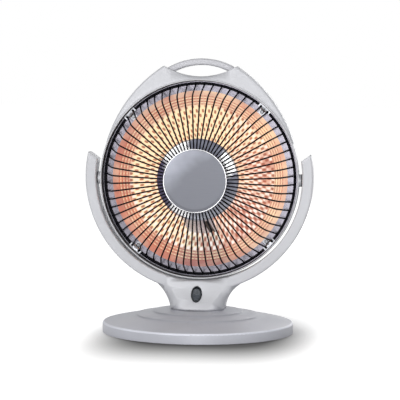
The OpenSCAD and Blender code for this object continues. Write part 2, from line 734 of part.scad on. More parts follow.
// The hood above its corners, with its outline moved in by i, from y0 to y1.
module crest(i, y0, y1, fillet = 0) difference() {
    intersection() {
        for_both_sides() translate([hood_side_x, 0, -hood_drop]) turned()
            puck(hood_r - i, y0, y1, fillet);
        translate([-far / 2, y0, hood_corner_z + i]) cube([far, y1 - y0, far / 2]);
    }
    translate([0, y0 - 1, notch_z + cut_r]) along_y() cylinder(h = y1 - y0 + 2, r = cut_r + i, $fn = 180);
    mirrored() peak_trim(i, y0 - 1, y1 + 1);
}

// Keeps only what the left and the right copy of its child share.
module for_both_sides() intersection() {
    children();
    mirror([1, 0, 0]) children();
}

// Half section of a disc with a rounded front edge, as [radius, distance along Y].
module puck(r, y0, y1, fillet) {
    n = 6;
    polygon(concat([[0, y0]], fillet > 0 ? [for (i = [0:n]) [r - fillet + fillet * sin(90 * i / n),
        y0 + fillet - fillet * cos(90 * i / n)]] : [[r, y0]], [[r, y1], [0, y1]]));
}

// What a peak's rounding takes off its sharp tip.
module peak_trim(i, y0, y1) {
    side_touch = peak_side + (peak_c - peak_side) * (hood_r - i) / (hood_r - peak_r);
    cut_touch = peak_c + (peak_cut - peak_c) * (peak_r - i) / (cut_r + peak_r);
    out = (peak_c - (peak_side + peak_cut) / 2) / norm(peak_c - (peak_side + peak_cut) / 2);
    if (i < peak_r) upright(y0, y1 - y0) difference() {
        polygon([side_touch, cut_touch, cut_touch + 30 * out, side_touch + 30 * out]);
        translate(peak_c) circle(peak_r - i, $fn = 32);
    }
}

module hood_shell() color(shell_grey) on_tilt_axis() difference() {
    union() {
        crest(0, hood_y, part_y, hood_fillet);
        turned() polygon(round_lip());
        mirrored() translate([rim_in_r + lap, 0, 0]) rotate([0, 90, 0])
            cylinder(h = boss_end - rim_in_r - lap, d = boss_d, $fn = 64);
    }
    difference() {
        crest(wall, hood_y + wall, part_y + 1);
        translate([0, -rim_front, 0]) along_y() cylinder(h = rim_front + part_y, r = head_r - lap, $fn = 180);
        at_crest_posts() translate([0, 0, -rim_front]) cylinder(h = rim_front + part_y, r = post_r, $fn = 32);
    }
    translate([0, -rim_front - 1, 0]) along_y() cylinder(h = rim_front + part_y + 2, r = rim_in_r, $fn = 180);
    at_crest_posts() translate([0, 0, part_y - 9]) cylinder(h = 10, r = bore_r, $fn = 24);
    mirrored() translate([rim_in_r + 0.8, 0, 0]) rotate([0, 90, 0])
        cylinder(h = 20, r = axle_d / 2 + 0.02, $fn = 48);
}

// Half section of the rim with a rounded front lip.
function round_lip() = concat([for (i = [0:8]) [head_r - wall / 2 - wall / 2 * cos(22.5 * i),
    wall / 2 - rim_front - wall / 2 * sin(22.5 * i)]], [[head_r, part_y], [rim_in_r, part_y]]);

module at_crest_posts() mirrored() for (p = crest_posts) at_clock(p[1], p[0]) along_y() children();

// Half section of the back of the head, with its wall moved in by i.
module bowl_region(i) {
    intersection() {
        translate([head_r - bowl_step - bowl_r, part_y]) circle(bowl_r - i, $fn = 180);
        translate([0, part_y]) square([far, far]);
    }
    translate([0, part_y]) square([head_r - bowl_step - bowl_r, bowl_r - i]);
}

module rear_housing() color(shell_grey) on_tilt_axis() difference() {
    union() {
        turned() difference() {
            bowl_region(0);
            bowl_region(wall);
        }
        turned() {
            translate([ledge_r, flange_back]) square([flange_r - ledge_r, ledge_t]);
            translate([flange_r - ledge_t, flange_back]) square([ledge_t, part_y + ledge_t - flange_back]);
            translate([flange_r - ledge_t, part_y])
                square([head_r - bowl_step - flange_r + ledge_t - lap, ledge_t]);
        }
        difference() {
            crest(0, part_y, part_y + wall);
            translate([0, part_y - 1, 0]) along_y()
                cylinder(h = wall + 2, r = head_r - bowl_step - 2 * lap, $fn = 180);
        }
    }
    for (i = [0:vent_count - 1]) at_clock(360 * (i + 0.5) / vent_count, 0)
        translate([-vent_w / 2, part_y + vent_y, vent_in_r]) cube([vent_w, bowl_r, vent_len]);
    at_crest_posts() translate([0, 0, part_y - 1]) cylinder(h = wall + 2, r = bore_r, $fn = 24);
    at_handle_screws() translate([0, 0, part_y - 1]) cylinder(h = wall + 2, r = bore_r, $fn = 24);
    at_clips(clip_screw_r) along_y() cylinder(h = part_y + 2 * ledge_t, r = bore_r, $fn = 24);
}

module shell_screws() color(steel) on_tilt_axis() at_crest_posts() translate([0, 0, part_y + wall])
    screw(wall + 7);

// Handle

module at_handle_screws() mirrored() for (a = handle_screw_angles) translate([0, 0, arch_z])
    at_clock(a, handle_r + handle_t / 2) along_y() children();

module handle() color(shell_grey) on_tilt_axis() difference() {
    translate([0, 0, arch_z]) along_y()
        rotate_extrude(angle = 2 * handle_half_angle, start = 270 - handle_half_angle)
            polygon(round_rect(handle_r, part_y + wall, handle_t, handle_depth, handle_round));
    at_handle_screws() translate([0, 0, part_y + wall - 1]) cylinder(h = 13, r = bore_r, $fn = 24);
}

module handle_screws() color(steel) on_tilt_axis() at_handle_screws() translate([0, 0, part_y])
    rotate([180, 0, 0]) screw(wall + 9);

// Tilt axles: a steel stub pressed into each boss turns in the bush inside the arm.

module axle() translate([rim_in_r + 0.8, 0, 0]) rotate([0, 90, 0])
    cylinder(h = bush_end + fit_gap + 4.9 - rim_in_r - 0.8, r = axle_d / 2, $fn = 48);

module axle_left() color(steel) on_tilt_axis() mirror([1, 0, 0]) axle();

module axle_right() color(steel) on_tilt_axis() axle();

// A ring on the axle, from x0 over a thickness t.
module axle_ring(x0, t, d) on_tilt_axis() mirrored() translate([x0, 0, 0]) rotate([0, 90, 0]) difference() {
    cylinder(h = t, d = d, $fn = 48);
    translate([0, 0, -1]) cylinder(h = t + 2, r = axle_d / 2 + 0.05, $fn = 48);
}

module friction_washers() color([0.25, 0.22, 0.2]) axle_ring(boss_end, 0.8, boss_d);

module axle_springs() color(steel) axle_ring(bush_end + fit_gap, 0.9, axle_d + 5);

module axle_nuts() color(steel) axle_ring(bush_end + fit_gap + 0.95, 3.6, axle_d + 4);

// Reflector and guard

module reflector() color([0.78, 0.66, 0.58]) on_tilt_axis() difference() {
    turned() polygon(concat(
        [for (r = dish_radii) [r, dish_y(r)]],
        [[flange_r, flange_y], [flange_r, flange_back], [dish_r + sheet_t, flange_back]],
        [for (i = [dish_steps:-1:0]) [dish_radii[i], dish_back_y(dish_radii[i])]]));
    at_clips(clip_screw_r) translate([0, flange_y - 1, 0]) along_y()
        cylinder(h = sheet_t + 2, r = bore_r, $fn = 24);
    at_foot_screws() translate([0, 0, -spacer_h / 2]) cylinder(h = 2 * spacer_h, r = bore_r, $fn = 24);
    at_leads(0) translate([0, lead_side, lead_len / 2])
        cylinder(h = lead_len, r = 2 * sleeve_r + 0.5, $fn = 32);
}

// A rod of diameter d between two points given as [radius, distance along Y].
module rod(a, b, d) translate([a[0], 0, a[1]]) rotate([0, atan2(b[0] - a[0], b[1] - a[1]), 0])
    cylinder(h = norm(b - a), d = d, $fn = 16);

module guard_wire() {
    angle0 = atan2(-(bend_start[1] - bend_c[1]), bend_start[0] - bend_c[0]);
    rod(wire_start, bend_start + lap * side_dir, wire_d);
    translate([bend_c[0], 0, bend_c[1]]) rotate([-90, 0, 0])
        rotate_extrude(angle = bend_turn, start = angle0, $fn = 48) translate([guard_bend_r, 0])
            circle(d = wire_d + 0.06, $fn = 16);
    rod(bend_end - lap * front_dir, wire_end, wire_d);
}

module wire_guard() color(black) on_tilt_axis() along_y() {
    rotate_extrude() translate([ring_r, ring_y]) circle(d = ring_rod_d, $fn = 24);
    rotate_extrude() translate([hub_r, hub_y]) circle(d = hub_rod_d, $fn = 24);
    for (i = [0:wire_count - 1]) rotate([0, 0, 270 + guard_turn + wire_pitch * i]) guard_wire();
}

// Puts children at each guard clip, at a radius.
module at_clips(r) for (i = [0:clip_count - 1]) at_clock(clip_angle + 360 * i / clip_count, r) children();

module guard_clips() color(steel) on_tilt_axis() at_clips(0) {
    clip_y = ring_y - ring_rod_d / 2 - 0.2 - clip_t;
    half = clip_len / 2 / ring_r * 57.3;
    notch_x = ring_r * sin(wire_pitch / 2);
    difference() {
        along_y() rotate_extrude(angle = 2 * half, start = 270 - half, $fn = 180) {
            translate([clip_in_r, clip_y]) square([flange_r - clip_in_r - 0.2, clip_t]);
            translate([flange_r - 0.2 - clip_t, clip_y]) square([clip_t, flange_y - clip_y]);
            translate([clip_in_r, clip_y]) square([clip_t / 2, flange_y - clip_y]);
        }
        for (side = [-1, 1]) translate([side * notch_x - wire_d / 2 - 0.5, clip_y - 1, ring_r - 6])
            cube([wire_d + 1, flange_y - clip_y + 2, 7.6]);
        for (side = [-1, 1])
            translate([side * (notch_x + clip_len / 2) - clip_len / 2, clip_y + clip_t, ring_r - 6])
            cube([clip_len, flange_y - clip_y, 4]);
    }
    difference() {
        translate([-4.2, flange_y - clip_t, clip_screw_r - 4.5])
            cube([8.4, clip_t, clip_in_r + clip_t / 2 - clip_screw_r + 4.5]);
        translate([0, flange_y - clip_t - 1, clip_screw_r]) along_y()
            cylinder(h = clip_t + 2, r = bore_r, $fn = 24);
    }
}

module clip_screws() color(steel) on_tilt_axis() at_clips(clip_screw_r) translate([0, flange_y - clip_t, 0])
    rotate([90, 0, 0]) screw(clip_t + sheet_t + ledge_t + 2);

module centre_disc() color([0.62, 0.62, 0.65]) on_tilt_axis() along_y() {
    translate([0, 0, disc_y + 0.4]) cylinder(h = disc_t, r = disc_d / 2 - 1.6);
    for (a = [30:120:270]) rotate([0, 0, a]) translate([hub_r - 12, 0, disc_back - lap])
        cylinder(h = hub_y + hub_rod_d / 2 - disc_back + lap, r = 3, $fn = 32);
}

module disc_trim_ring() color([0.9, 0.9, 0.92]) on_tilt_axis() turned()
    polygon(concat([for (i = [0:8]) [disc_d / 2 - 0.8 + 0.8 * cos(22.5 * i),
            disc_y + 0.8 - 0.8 * sin(22.5 * i)]],
        [[disc_d / 2 - 1.6, disc_back], [disc_d / 2, disc_back]]));

module disc_clamp_plate() color(steel) on_tilt_axis() along_y() {
    y0 = hub_y + hub_rod_d / 2;
    translate([0, 0, y0]) cylinder(h = 1.2, r = hub_r + 1);
    for (a = [30:120:270]) rotate([0, 0, a]) translate([hub_r - 12, 0, y0 + 1.2 - lap])
        cylinder(h = head_h + lap, r = pan_r, $fn = 24);
}

// Element

module ceramic_core() color(ceramic) on_tilt_axis() along_y() {
    translate([0, 0, collar_y - core_plug_h]) cylinder(h = core_plug_h + lap, r = core_plug_r);
    translate([0, 0, collar_y]) cylinder(h = collar_t, r = core_r + coil_d + 1.5);
    translate([0, 0, core_y - lap]) cylinder(h = core_len + lap, r1 = core_r, r2 = core_tip_r);
    translate([0, 0, tip_y]) cylinder(h = 3, r = core_tip_r + coil_d + 1.5);
}

// One unbroken tube of coil_sides sides along coil_path.
module heating_coil() color([0.95, 0.45, 0.15]) on_tilt_axis() along_y() {
    n = len(coil_path);
    points = [for (i = [0:n - 1])
        let (p = coil_path[i],
             ahead = coil_path[min(i + 1, n - 1)] - coil_path[max(i - 1, 0)],
             t = i < 2 || i > n - 3 ? [0, 0, 1] : ahead / norm(ahead),
             out = [p[0], p[1], 0] / norm([p[0], p[1]]),
             u = (out - (out * t) * t) / norm(out - (out * t) * t),
             v = cross(t, u))
        for (k = [0:coil_sides - 1])
            p + coil_d / 2 * (cos(360 * k / coil_sides) * u + sin(360 * k / coil_sides) * v)];
    sides = [for (i = [0:n - 2]) for (k = [0:coil_sides - 1])
        let (a = i * coil_sides + k, b = i * coil_sides + (k + 1) % coil_sides)
        for (f = [[a, a + coil_sides, b], [b, a + coil_sides, b + coil_sides]]) f];
    polyhedron(points, concat([[for (k = [0:coil_sides - 1]) k]], sides,
        [[for (k = [coil_sides - 1:-1:0]) (n - 1) * coil_sides + k]]));
}

module element_socket() color(ceramic) on_tilt_axis() along_y() difference() {
    union() {
        translate([0, 0, cap_y + cap_t]) cylinder(h = socket_h, r = socket_r);
        translate([0, 0, cap_y + cap_t]) cylinder(h = socket_h / 2, r = socket_r + 3);
    }
    translate([0, 0, collar_y - core_plug_h - 0.5]) cylinder(h = core_plug_h + 1, r = core_plug_r + 0.15);
    for (x = [-socket_screw_x, socket_screw_x]) translate([x, 0, cap_y])
        cylinder(h = socket_h - 1, r = bore_r, $fn = 24);
}

// The cap is pressed from sheet with a turned rim, and its arm is a strip of the same round form.
module socket_bracket() color([0.70, 0.71, 0.73]) on_tilt_axis() difference() {
    union() {
        turned() polygon(strip(cap_path, cap_t));
        intersection() {
            turned() polygon(strip(arm_path, arm_strip_t));
            translate([-cap_arm_w / 2, -far / 2, -far]) cube([cap_arm_w, far, far]);
        }
    }
    at_leads(0) {
        translate([-lead_slot / 2, -2 * arm_strip_t, 0]) cube([lead_slot, 4 * arm_strip_t, 2 * lead_len]);
        translate([-2 * sleeve_r - 0.5, arm_strip_t, lead_len / 2])
            cube([4 * sleeve_r + 1, 2 * foot_len, lead_len]);
    }
    at_foot_screws() translate([0, 0, -2 * spacer_h - 2]) cylinder(h = 4 * spacer_h, r = bore_r, $fn = 24);
    for (x = [-socket_screw_x, socket_screw_x]) translate([x, cap_y - 1, 0]) along_y()
        cylinder(h = cap_t + 2, r = bore_r, $fn = 24);
}

// Puts children on the dish at each foot screw, with Z along the dish's normal, towards its back.
module at_foot_screws() for (a = foot_screw_angles) rotate([0, 180 + a, 0])
    translate([0, dish_y(foot_r), foot_r]) rotate([-atan2(-foot_n[1], -foot_n[0]), 0, 0]) children();

// Puts children where a lead leaves the cap, with Z along the arm, aside by x.
module at_leads(x) rotate([0, 180 - lead_angle, 0])
    translate([x, arm_top[1] + arm_dir[1] * lead_start, arm_top[0] + arm_dir[0] * lead_start])
        rotate([-atan2(arm_dir[1], arm_dir[0]), 0, 0]) children();

module lead_sleeves() color(black) on_tilt_axis() for (x = [-sleeve_r - 0.15, sleeve_r + 0.15])
    at_leads(x) translate([0, lead_side, 0]) difference() {
        cylinder(h = lead_len + lead_out, r = sleeve_r, $fn = 32);
        translate([0, 0, -1]) cylinder(h = lead_len + lead_out + 2, r = sleeve_r - 0.9, $fn = 32);
    }

module bracket_spacers() color(steel) on_tilt_axis() at_foot_screws() translate([0, 0, -spacer_h])
    difference() {
        cylinder(h = spacer_h - 0.1, r = spacer_r, $fn = 32);
        translate([0, 0, -1]) cylinder(h = spacer_h + 2, r = bore_r, $fn = 24);
    }

module bracket_screws() color(steel) on_tilt_axis() {
    at_foot_screws() translate([0, 0, sheet_t + 0.1]) screw(sheet_t + spacer_h + arm_strip_t + 3);
    for (x = [-socket_screw_x, socket_screw_x]) translate([x, cap_y, 0]) rotate([90, 0, 0])
        screw(cap_t + socket_h - 3);
}

// Block that joins the leads, on the flat of the housing's back.
module terminal_block() color([0.85, 0.82, 0.72]) on_tilt_axis()
    translate([-block[0] / 2, back_y - wall - block[1], -block[2] - 8]) difference() {
        cube(block);
        for (x = [block[0] / 4, block[0] * 3 / 4]) translate([x, -1, block[2] / 2]) along_y()
            cylinder(h = block[1] / 2, r = screw_r, $fn = 24);
    }

// Thermal cut-out on the middle of the dish's back.
module thermal_cutout() color([0.3, 0.3, 0.32]) on_tilt_axis() along_y() {
    translate([0, 0, dish_back_y(0) + 0.1]) cylinder(h = cutout_h, r = cutout_r, $fn = 48);
    translate([0, 0, dish_back_y(0) + 0.1 + cutout_h - lap])
        cylinder(h = 2 + lap, r = cutout_r - 2, $fn = 48);
}

base_cover();
base_plate();
base_screws();
rubber_feet();
ballast_ring();
neck_clamp_plate();
neck_screws();
cord_gland();
tilt_switch();
yoke_front();
yoke_rear();
yoke_screws();
switch_bezel();
switch_body();
switch_rocker();
hood_shell();
rear_housing();
shell_screws();
handle();
handle_screws();
axle_left();
axle_right();
friction_washers();
axle_springs();
axle_nuts();
reflector();
wire_guard();
guard_clips();
clip_screws();
centre_disc();
disc_trim_ring();
disc_clamp_plate();
ceramic_core();
heating_coil();
element_socket();
socket_bracket();
lead_sleeves();
bracket_spacers();
bracket_screws();
terminal_block();
thermal_cutout();
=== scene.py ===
"""A table-top parabolic heater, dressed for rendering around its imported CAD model."""

import json
import math

import bmesh
import bpy
from mathutils import Matrix, Vector


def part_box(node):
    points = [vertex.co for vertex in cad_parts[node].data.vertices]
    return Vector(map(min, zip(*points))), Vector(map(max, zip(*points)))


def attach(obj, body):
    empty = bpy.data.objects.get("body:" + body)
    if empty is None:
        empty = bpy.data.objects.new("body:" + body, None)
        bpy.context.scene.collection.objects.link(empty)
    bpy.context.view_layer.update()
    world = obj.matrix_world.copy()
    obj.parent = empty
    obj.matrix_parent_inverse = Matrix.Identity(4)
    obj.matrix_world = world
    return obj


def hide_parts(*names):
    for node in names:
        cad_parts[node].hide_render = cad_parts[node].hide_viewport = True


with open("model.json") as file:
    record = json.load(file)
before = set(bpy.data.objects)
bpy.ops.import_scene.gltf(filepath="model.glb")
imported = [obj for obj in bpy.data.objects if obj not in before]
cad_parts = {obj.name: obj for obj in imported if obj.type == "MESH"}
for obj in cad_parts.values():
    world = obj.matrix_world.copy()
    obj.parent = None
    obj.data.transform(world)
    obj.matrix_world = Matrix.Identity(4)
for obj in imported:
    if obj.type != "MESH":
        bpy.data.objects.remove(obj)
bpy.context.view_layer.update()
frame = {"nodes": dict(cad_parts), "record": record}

# Camera. It stands to the heater's right and above its middle, with a long lens, and is rolled by
# half a degree.
camera_distance = 2.6
camera_height = 0.3684
camera_turn = math.radians(7.0)
camera_roll = math.radians(0.49)
aim = Vector((0.0016, 0, 0.19236))
focal_length = 162.4
sensor_width = 36
lens = bpy.data.cameras.new("camera")
lens.lens = focal_length
lens.sensor_width = sensor_width
camera = bpy.data.objects.new("camera", lens)
bpy.context.scene.collection.objects.link(camera)
camera.location = (
    camera_distance * math.sin(camera_turn),
    -camera_distance * math.cos(camera_turn),
    camera_height,
)
facing = (aim - camera.location).to_track_quat("-Z", "Y").to_matrix()
camera.rotation_euler = (facing @ Matrix.Rotation(camera_roll, 3, "Z")).to_euler()
bpy.context.scene.camera = camera
bpy.context.scene.view_settings.view_transform = "Standard"

# Studio. A pale floor that runs out of sight, an even white surround and broad soft lamps. The
# camera and mirror-like surfaces see the surround as plain white. The floor carries a painted
# shadow: a soft dark patch in its own colour round the base that reaches forwards, on top of the
# lamps' own shadows.
surround_light = 0.27
floor_size = 40
floor_grey = 0.9
floor_lift = 0.80
shadow_half_width = 0.205
shadow_centre_x = 0.012
shadow_reach = 0.38
shadow_centre_y = -0.05
shadow_depth = 1.06
shadow_tone = 0.1
lamps = (
    # name, place, size, watts
    ("key_lamp", (-1.1, -2.4, 1.1), 1.3, 29),
    ("fill_lamp", (1.8, -1.9, 0.7), 1.6, 10),
    ("front_lamp", (0.35, -2.3, 0.30), 0.9, 12),
    ("back_lamp", (0.9, 2.4, 0.9), 1.6, 17),
)
lamp_aim = Vector((0, 0, 0.2))


def feed(tree, socket, value):
    """Links a socket to another one, or sets it to a plain number or colour."""
    if isinstance(value, bpy.types.NodeSocket):
        tree.links.new(value, socket)
    else:
        socket.default_value = (*value, 1) if isinstance(value, tuple) else value


def math_node(tree, operation, first, second=None, clamp=False):
    """A math node on one or two inputs, each a socket or a number."""
    node = tree.nodes.new("ShaderNodeMath")
    node.operation = operation
    node.use_clamp = clamp
    feed(tree, node.inputs[0], first)
    if second is not None:
        feed(tree, node.inputs[1], second)
    return node.outputs[0]


def between(tree, value, low, high, start=0.3, end=0.7):
    """Goes from low to high while a value goes from start to end."""
    spread = tree.nodes.new("ShaderNodeMapRange")
    spread.inputs["From Min"].default_value = start
    spread.inputs["From Max"].default_value = end
    spread.inputs["To Min"].default_value = low
    spread.inputs["To Max"].default_value = high
    tree.links.new(value, spread.inputs["Value"])
    return spread.outputs["Result"]


def axes_of(tree, coords):
    """The three parts of a place."""
    axes = tree.nodes.new("ShaderNodeSeparateXYZ")
    tree.links.new(coords, axes.inputs[0])
    return axes.outputs["X"], axes.outputs["Y"], axes.outputs["Z"]


def is_seen_directly(tree):
    """One for camera, glossy and transmission rays, and nothing for the rest."""
    path = tree.nodes.new("ShaderNodeLightPath").outputs
    seen = math_node(tree, "MAXIMUM", path["Is Camera Ray"], path["Is Glossy Ray"])
    return math_node(tree, "MAXIMUM", seen, path["Is Transmission Ray"])


surround = bpy.data.worlds.new("surround")
bpy.context.scene.world = surround
surround.use_nodes = True
tree = surround.node_tree
backdrop = tree.nodes["Background"]
backdrop.inputs["Color"].default_value = (1, 1, 1, 1)
strength = between(tree, is_seen_directly(tree), surround_light, 1.0, start=0.0, end=1.0)
tree.links.new(strength, backdrop.inputs["Strength"])

bpy.ops.object.select_all(action="DESELECT")
bpy.ops.mesh.primitive_plane_add(size=floor_size, location=(0, 0, 0))
floor = bpy.context.object
floor.name = "floor"
paper = bpy.data.materials.new("floor_paper")
paper.use_nodes = True
tree = paper.node_tree
tree.nodes.clear()
# Painted shadow: the floor's colour and its lift are darkened in a soft patch round the base that
# reaches forwards.
floor_x, floor_y, _ = axes_of(tree, tree.nodes.new("ShaderNodeTexCoord").outputs["Object"])
across = math_node(tree, "SUBTRACT", floor_x, shadow_centre_x)
across = math_node(tree, "DIVIDE", across, shadow_half_width)
across = math_node(tree, "POWER", math_node(tree, "ABSOLUTE", across), 4.0)
along = math_node(tree, "SUBTRACT", floor_y, shadow_centre_y)
along = math_node(tree, "DIVIDE", along, shadow_reach)
along = math_node(tree, "MULTIPLY", along, along)
outward = math_node(tree, "ADD", across, along)
inward = math_node(tree, "SUBTRACT", 1.0, outward, clamp=True)
depth = math_node(tree, "POWER", inward, 3.0)
shade = between(tree, depth, 1.0, shadow_tone, start=0.0, end=(1 - shadow_tone) / shadow_depth)
matt = tree.nodes.new("ShaderNodeBsdfDiffuse")
tree.links.new(math_node(tree, "MULTIPLY", shade, floor_grey), matt.inputs["Color"])
lift = tree.nodes.new("ShaderNodeEmission")
lifted = math_node(tree, "MULTIPLY", is_seen_directly(tree), floor_lift)
tree.links.new(math_node(tree, "MULTIPLY", lifted, shade), lift.inputs["Strength"])
both = tree.nodes.new("ShaderNodeAddShader")
tree.links.new(matt.outputs[0], both.inputs[0])
tree.links.new(lift.outputs[0], both.inputs[1])
out = tree.nodes.new("ShaderNodeOutputMaterial")
tree.links.new(both.outputs[0], out.inputs["Surface"])
floor.data.materials.append(paper)

for name, place, size, watts in lamps:
    data = bpy.data.lights.new(name, "AREA")
    data.size = size
    data.energy = watts
    lamp = bpy.data.objects.new(name, data)
    bpy.context.scene.collection.objects.link(lamp)
    lamp.location = place
    lamp.rotation_euler = (lamp_aim - lamp.location).to_track_quat("-Z", "Y").to_euler()

# Base cover. A shallow dome moulded in ABS and sprayed in a darker silver than the head, with two
# low steps around its flat seat. Four screws hold it to the base plate.
base_silver = (0.56, 0.57, 0.625)
# Painted light: the base coat is painted brighter towards the front and darker behind, with a
# painted highlight along its round top edge.
painted_light_reach = -0.11
painted_front_light = 1.10
painted_back_shade = 0.86
edge_highlight_start = 0.1521  # distance from the middle plus height, along the round edge
edge_highlight_end = 0.1530
edge_highlight_tone = 1.36
merge_distance = 0.000005
bump_height = 0.0002


def new_finish(name, colour, roughness, metallic=0.0, gloss=0.5):
    """A material with its node tree, its main shader and its object coordinates."""
    finish = bpy.data.materials.new(name)
    finish.use_nodes = True
    tree = finish.node_tree
    shader = tree.nodes["Principled BSDF"]
    shader.inputs["Base Color"].default_value = (*colour, 1)
    shader.inputs["Roughness"].default_value = roughness
    shader.inputs["Metallic"].default_value = metallic
    shader.inputs["Specular IOR Level"].default_value = gloss
    coords = tree.nodes.new("ShaderNodeTexCoord").outputs["Object"]
    return finish, tree, shader, coords


def noise_on(tree, coords, scale, detail=2.0, stretch=(1, 1, 1), turn=(0, 0, 0)):
    """A noise value on coordinates that are first stretched and turned."""
    mapping = tree.nodes.new("ShaderNodeMapping")
    mapping.inputs["Scale"].default_value = stretch
    mapping.inputs["Rotation"].default_value = turn
    tree.links.new(coords, mapping.inputs["Vector"])
    noise = tree.nodes.new("ShaderNodeTexNoise")
    noise.inputs["Scale"].default_value = scale
    noise.inputs["Detail"].default_value = detail
    tree.links.new(mapping.outputs[0], noise.inputs["Vector"])
    return noise.outputs["Fac"]


def product(tree, *values):
    """Several values multiplied."""
    result = values[0]
    for value in values[1:]:
        result = math_node(tree, "MULTIPLY", result, value)
    return result


def blended(tree, first, second, factor, way="MIX"):
    """Two colours mixed, each a socket or a colour."""
    mix = tree.nodes.new("ShaderNodeMix")
    mix.data_type = "RGBA"
    mix.blend_type = way
    sockets = {socket.identifier: socket for socket in mix.inputs}
    feed(tree, sockets["A_Color"], first)
    feed(tree, sockets["B_Color"], second)
    feed(tree, sockets["Factor_Float"], factor)
    return next(result for result in mix.outputs if result.identifier == "Result_Color")


def shade_of(tree, colour, value):
    """A colour made darker or lighter by a value around one."""
    return blended(tree, colour, value, 1.0, way="MULTIPLY")


def fine_bumps(tree, shader, height, strength, under=None):
    """Fine bumps in a surface, over its own or other normals."""
    skin = tree.nodes.new("ShaderNodeBump")
    skin.inputs["Strength"].default_value = strength
    skin.inputs["Distance"].default_value = bump_height
    tree.links.new(height, skin.inputs["Height"])
    if under:
        tree.links.new(under, skin.inputs["Normal"])
    tree.links.new(skin.outputs[0], shader.inputs["Normal"])


def distance_of(tree, first, second):
    """How far two parts of a place, at a right angle, lie from nothing."""
    squares = [math_node(tree, "MULTIPLY", part, part) for part in (first, second)]
    return math_node(tree, "SQRT", math_node(tree, "ADD", *squares))


def silver_paint(name, colour, soft_edge=0.0012, gloss=0.3, toned=None):
    """Sprayed silver: faint clouds in the coat, a fine metallic grain and slightly softened edges.
    The coat's tone may also follow a function of its coordinates."""
    finish, tree, shader, coords = new_finish(name, colour, 0.42, metallic=0.1, gloss=gloss)
    clouds = noise_on(tree, coords, scale=14, detail=3)
    grain = noise_on(tree, coords, scale=2600, detail=1)
    tone = product(tree, between(tree, clouds, 0.95, 1.045), between(tree, grain, 0.965, 1.035))
    if toned:
        tone = product(tree, tone, toned(tree, coords))
    tree.links.new(shade_of(tree, colour, tone), shader.inputs["Base Color"])
    tree.links.new(between(tree, clouds, 0.36, 0.48), shader.inputs["Roughness"])
    edge = tree.nodes.new("ShaderNodeBevel")
    edge.samples = 6
    edge.inputs["Radius"].default_value = soft_edge
    peel = noise_on(tree, coords, scale=420)
    fine_bumps(tree, shader, peel, strength=0.12, under=edge.outputs[0])
    return finish


def base_painted_light(tree, coords):
    """Painted light: the coat is painted a little brighter towards the front and darker behind,
    with a painted highlight along the round edge.
    """
    across, along, up = axes_of(tree, coords)
    front = between(tree, along, painted_front_light, painted_back_shade, start=painted_light_reach, end=0.0)
    outward = math_node(tree, "ADD", distance_of(tree, across, along), up)
    edge = between(tree, outward, 1.0, edge_highlight_tone, start=edge_highlight_start, end=edge_highlight_end)
    return product(tree, front, edge)


bodies = frame["record"]["behaviour"]["bodies"]
body_of = {node: body for body, members in bodies.items() for node in members}


def dress(node, finish):
    """Gives a CAD node a finish and leaves its shape alone."""
    cad = frame["nodes"][node]
    cad.data.materials.clear()
    cad.data.materials.append(finish)


def smooth_copy(node, finish, sharp_from=32):
    """A merged, smoothly shaded copy of a CAD node, which stands for it on the same body."""
    piece = bpy.data.objects.new(node + "_smooth", frame["nodes"][node].data.copy())
    bpy.context.scene.collection.objects.link(piece)
    piece.data.materials.clear()
    piece.data.materials.append(finish)
    bpy.ops.object.select_all(action="DESELECT")
    bpy.context.view_layer.objects.active = piece
    piece.select_set(True)
    bpy.ops.object.mode_set(mode="EDIT")
    bpy.ops.mesh.select_all(action="SELECT")
    bpy.ops.mesh.remove_doubles(threshold=merge_distance)
    bpy.ops.object.mode_set(mode="OBJECT")
    bpy.ops.object.shade_smooth_by_angle(angle=math.radians(sharp_from))
    even = piece.modifiers.new("even_normals", "WEIGHTED_NORMAL")
    even.keep_sharp = True
    bpy.ops.object.modifier_apply(modifier=even.name)
    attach(piece, body_of[node])
    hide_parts(node)
    return piece


base_paint = silver_paint("base_silver_paint", base_silver, gloss=0.2, toned=base_painted_light)
smooth_copy("base_cover", base_paint)

# Underside. A black sheet-steel plate closes the base and carries rubber feet and a rough steel
# weight. Zinc-plated screws go up into the cover's posts, and a rubber bush at the back takes the
# cord.
plate_colour = (0.018, 0.018, 0.02)
zinc_colour = (0.60, 0.61, 0.63)
iron_colour = (0.16, 0.155, 0.15)
rubber_colour = (0.022, 0.022, 0.023)
case_colour = (0.02, 0.021, 0.024)


def sprayed_black(name, colour, roughness, gloss=0.5):
    """Black enamel with a faint orange peel and a little wear in its gloss."""
    finish, tree, shader, coords = new_finish(name, colour, roughness, gloss=gloss)
    worn = noise_on(tree, coords, scale=40, detail=4)
    wear = between(tree, worn, roughness * 0.8, roughness * 1.25)
    tree.links.new(wear, shader.inputs["Roughness"])
    tone = between(tree, worn, 0.8, 1.25)
    tree.links.new(shade_of(tree, colour, tone), shader.inputs["Base Color"])
    fine_bumps(tree, shader, noise_on(tree, coords, scale=700), strength=0.15)
    return finish


def bare_metal(name, colour, roughness, scale, streak=0.10):
    """Bare metal with fine flecks in its colour and its gloss."""
    finish, tree, shader, coords = new_finish(name, colour, roughness, metallic=1.0)
    flecks = noise_on(tree, coords, scale, detail=4)
    tone = between(tree, flecks, 1 - streak, 1 + streak)
    tree.links.new(shade_of(tree, colour, tone), shader.inputs["Base Color"])
    buffed = between(tree, flecks, roughness * 0.75, roughness * 1.3)
    tree.links.new(buffed, shader.inputs["Roughness"])
    return finish


def dusty_black(name):
    """Matt black rubber or fibre with a dusty, slightly uneven surface."""
    finish, tree, shader, coords = new_finish(name, rubber_colour, 0.75)
    dust = noise_on(tree, coords, scale=260, detail=4)
    tone = between(tree, dust, 0.7, 1.6)
    tree.links.new(shade_of(tree, rubber_colour, tone), shader.inputs["Base Color"])
    fine_bumps(tree, shader, dust, strength=0.3)
    return finish


